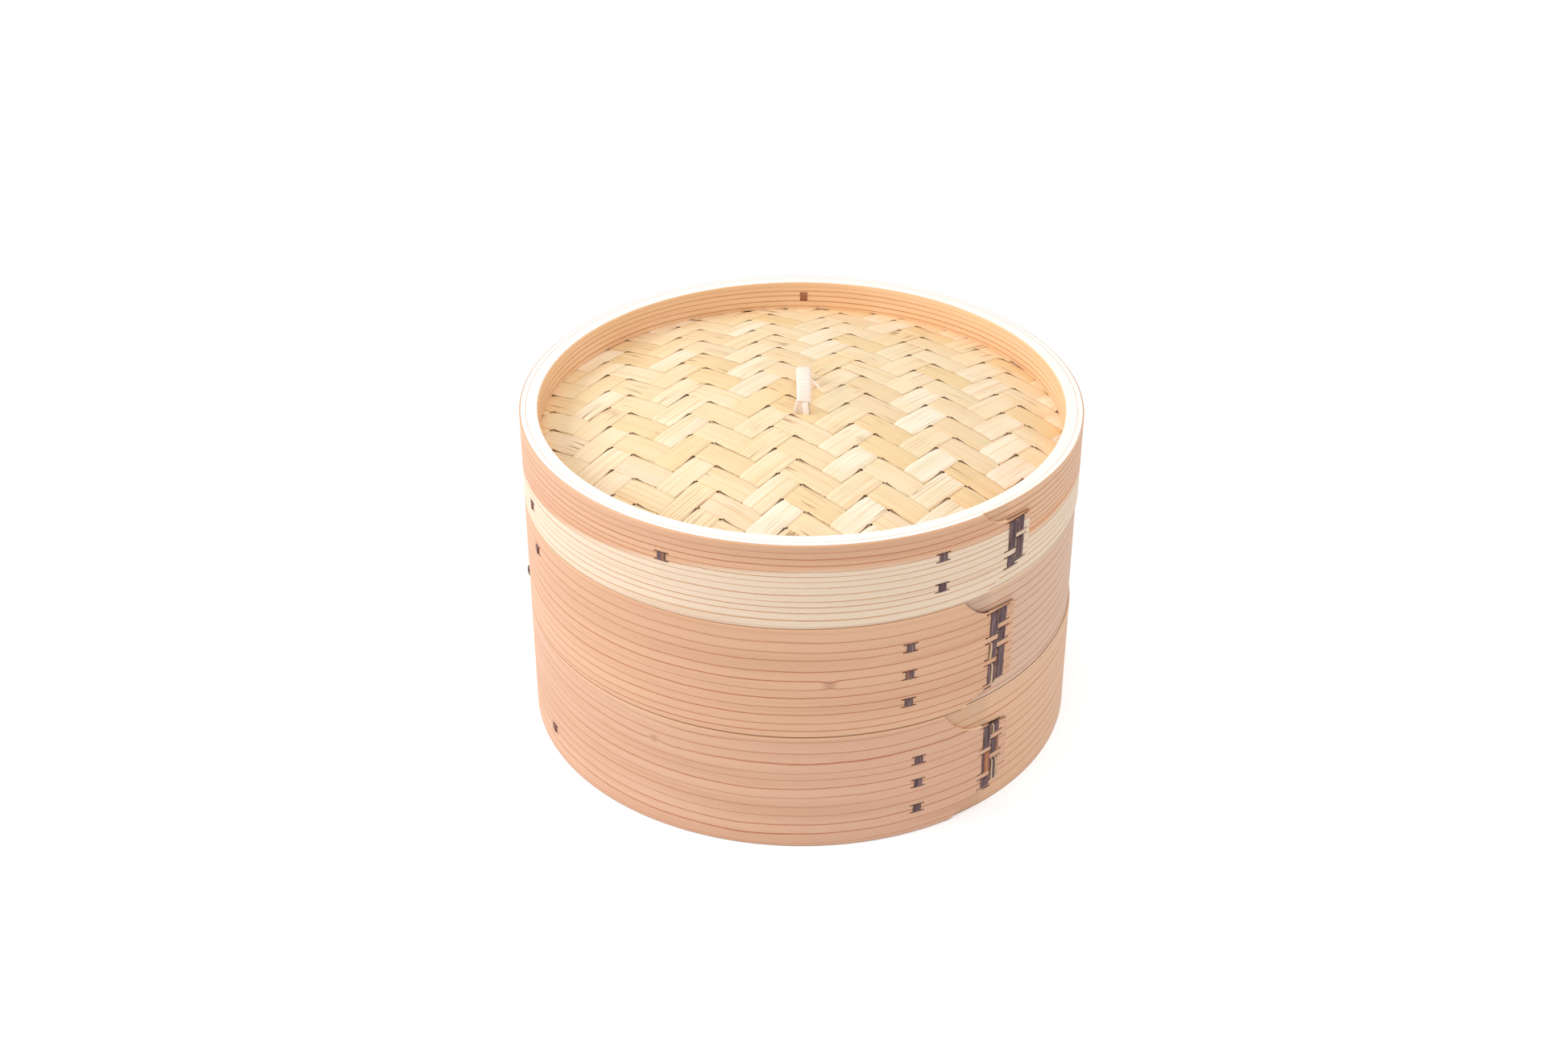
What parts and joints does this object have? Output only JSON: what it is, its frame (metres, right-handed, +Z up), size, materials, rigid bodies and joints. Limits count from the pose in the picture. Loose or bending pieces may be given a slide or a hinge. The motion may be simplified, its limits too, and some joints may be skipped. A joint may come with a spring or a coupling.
{
  "type": "bamboo steamer basket",
  "caption": "Round stacking steamer of bent-wood hoops with slatted bamboo floors and a domed woven bamboo lid with a small loop handle.",
  "frame": {"origin": "centre of the bottom rim of the lower tier, on the surface that the steamer stands on", "axes": "+Z up along the common axis of the hoops, -Y towards the front, where the laced laps are just right of the middle, +X to the right"},
  "size_m": [0.254, 0.254, 0.1688],
  "materials": {
    "fir_hoop": "planed softwood, unfinished",
    "pale_fir": "planed softwood with a pale sapwood band, unfinished",
    "woven_bamboo": "split bamboo skin, smooth and slightly glossy",
    "split_bamboo": "split and planed bamboo, satin",
    "bamboo_pin": "cut bamboo, matte",
    "bamboo_leaf": "dried leaf, matte",
    "bast_strip": "dark fibrous bark strip, matte",
    "cane_loop": "shaved cane strip, satin"
  },
  "bodies": {
    "lower_tier": {"lower_crossbar_left": "split_bamboo", "lower_crossbar_right": "split_bamboo", "lower_floor_slats": "split_bamboo", "lower_hoop_stitches": "bast_strip", "lower_inner_hoop": "fir_hoop", "lower_inner_hoop_stitches": "bast_strip", "lower_lap_lacing": "bast_strip", "lower_outer_hoop": "fir_hoop", "lower_slat_pins": "bamboo_pin", "lower_support_hoop": "fir_hoop"},
    "upper_tier": {"upper_crossbar_left": "split_bamboo", "upper_crossbar_right": "split_bamboo", "upper_floor_slats": "split_bamboo", "upper_hoop_stitches": "bast_strip", "upper_inner_hoop": "fir_hoop", "upper_inner_hoop_stitches": "bast_strip", "upper_lap_lacing": "bast_strip", "upper_outer_hoop": "fir_hoop", "upper_slat_pins": "bamboo_pin", "upper_support_hoop": "fir_hoop"},
    "lid": {"lid_bottom_weave": "woven_bamboo", "lid_crown_rib_lower": "split_bamboo", "lid_crown_rib_upper": "split_bamboo", "lid_hoop_stitches": "bast_strip", "lid_inner_hoop": "fir_hoop", "lid_inner_hoop_stitch": "bast_strip", "lid_lap_lacing": "bast_strip", "lid_leaf_liner": "bamboo_leaf", "lid_loop_core": "cane_loop", "lid_loop_wrap": "cane_loop", "lid_outer_hoop": "pale_fir", "lid_support_hoop": "fir_hoop", "lid_top_weave": "woven_bamboo"}
  },
  "joints": [
    {"name": "upper_tier_lift", "type": "slide", "parent": "lower_tier", "child": "upper_tier", "axis": [0, 0, 1], "range_m": [0, 0.1]},
    {"name": "lid_lift", "type": "slide", "parent": "upper_tier", "child": "lid", "axis": [0, 0, 1], "range_m": [0, 0.08]}
  ]
}
